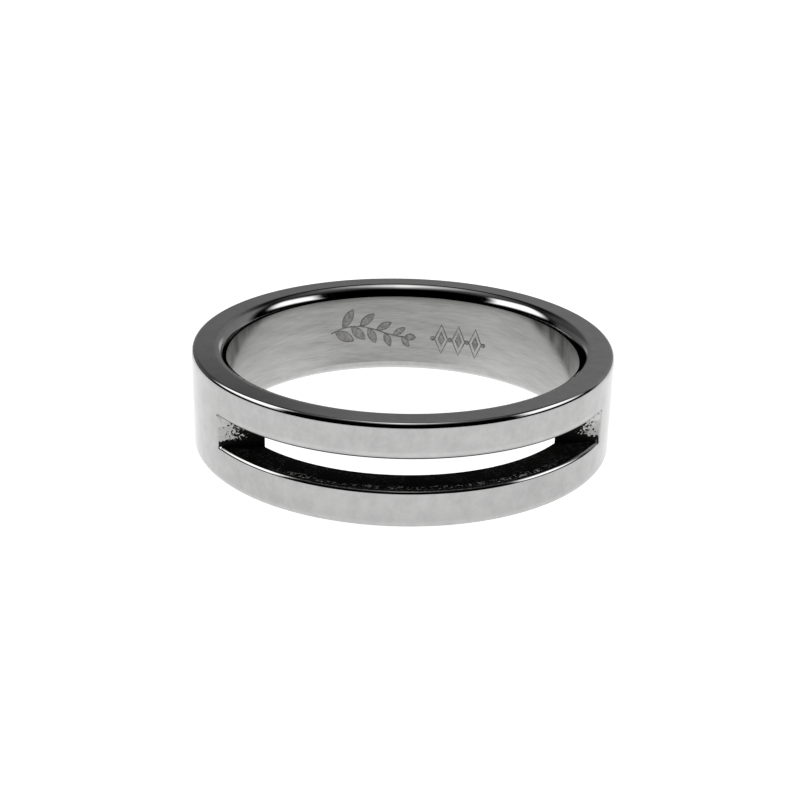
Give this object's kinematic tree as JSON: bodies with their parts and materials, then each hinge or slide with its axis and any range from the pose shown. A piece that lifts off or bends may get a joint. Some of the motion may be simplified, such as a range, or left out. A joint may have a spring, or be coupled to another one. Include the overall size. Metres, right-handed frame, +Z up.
{
  "type": "friendship ring",
  "caption": "Flat steel band ring with a long open slot along its front, polished outside, rounded inside edges and a brushed inside wall.",
  "frame": {"origin": "centre of the circle on which the ring lies, on its lower side face, below the middle of the finger hole", "axes": "+Z up along the finger axis, -Y towards the middle of the slot"},
  "size_m": [0.0208, 0.0208, 0.005],
  "materials": {
    "steel": "mirror-polished outside and on the edges, fine circular brushing inside, dark rough walls in the slot"
  },
  "bodies": {
    "root": {"band": "steel"}
  },
  "joints": []
}
